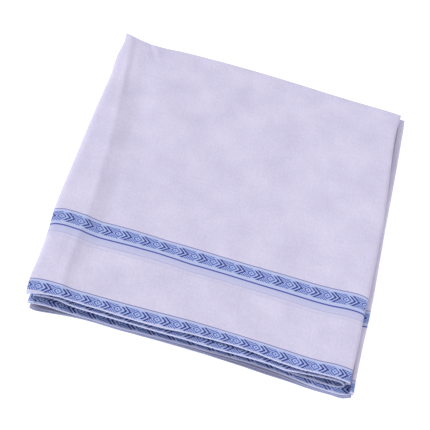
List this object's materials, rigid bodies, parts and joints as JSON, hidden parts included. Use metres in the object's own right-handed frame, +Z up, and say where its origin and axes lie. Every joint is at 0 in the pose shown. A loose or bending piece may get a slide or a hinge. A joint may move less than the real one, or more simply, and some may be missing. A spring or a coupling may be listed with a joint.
{
  "type": "folded square scarf",
  "caption": "Square cotton scarf folded to a flat square packet, with turned edges at three sides and stepped hems along the front.",
  "frame": {"origin": "middle of the packet's outline, on the surface that it lies on", "axes": "+Z up out of the packet; +Y from the front edge with the hems to the back; +X to the right"},
  "size_m": [0.289, 0.2956, 0.016],
  "materials": {
    "cotton": "matt woven cotton"
  },
  "bodies": {
    "root": {"top_panel": "cotton", "second_ply": "cotton", "inner_folds": "cotton", "lower_panel": "cotton", "bottom_ply": "cotton"}
  },
  "joints": []
}
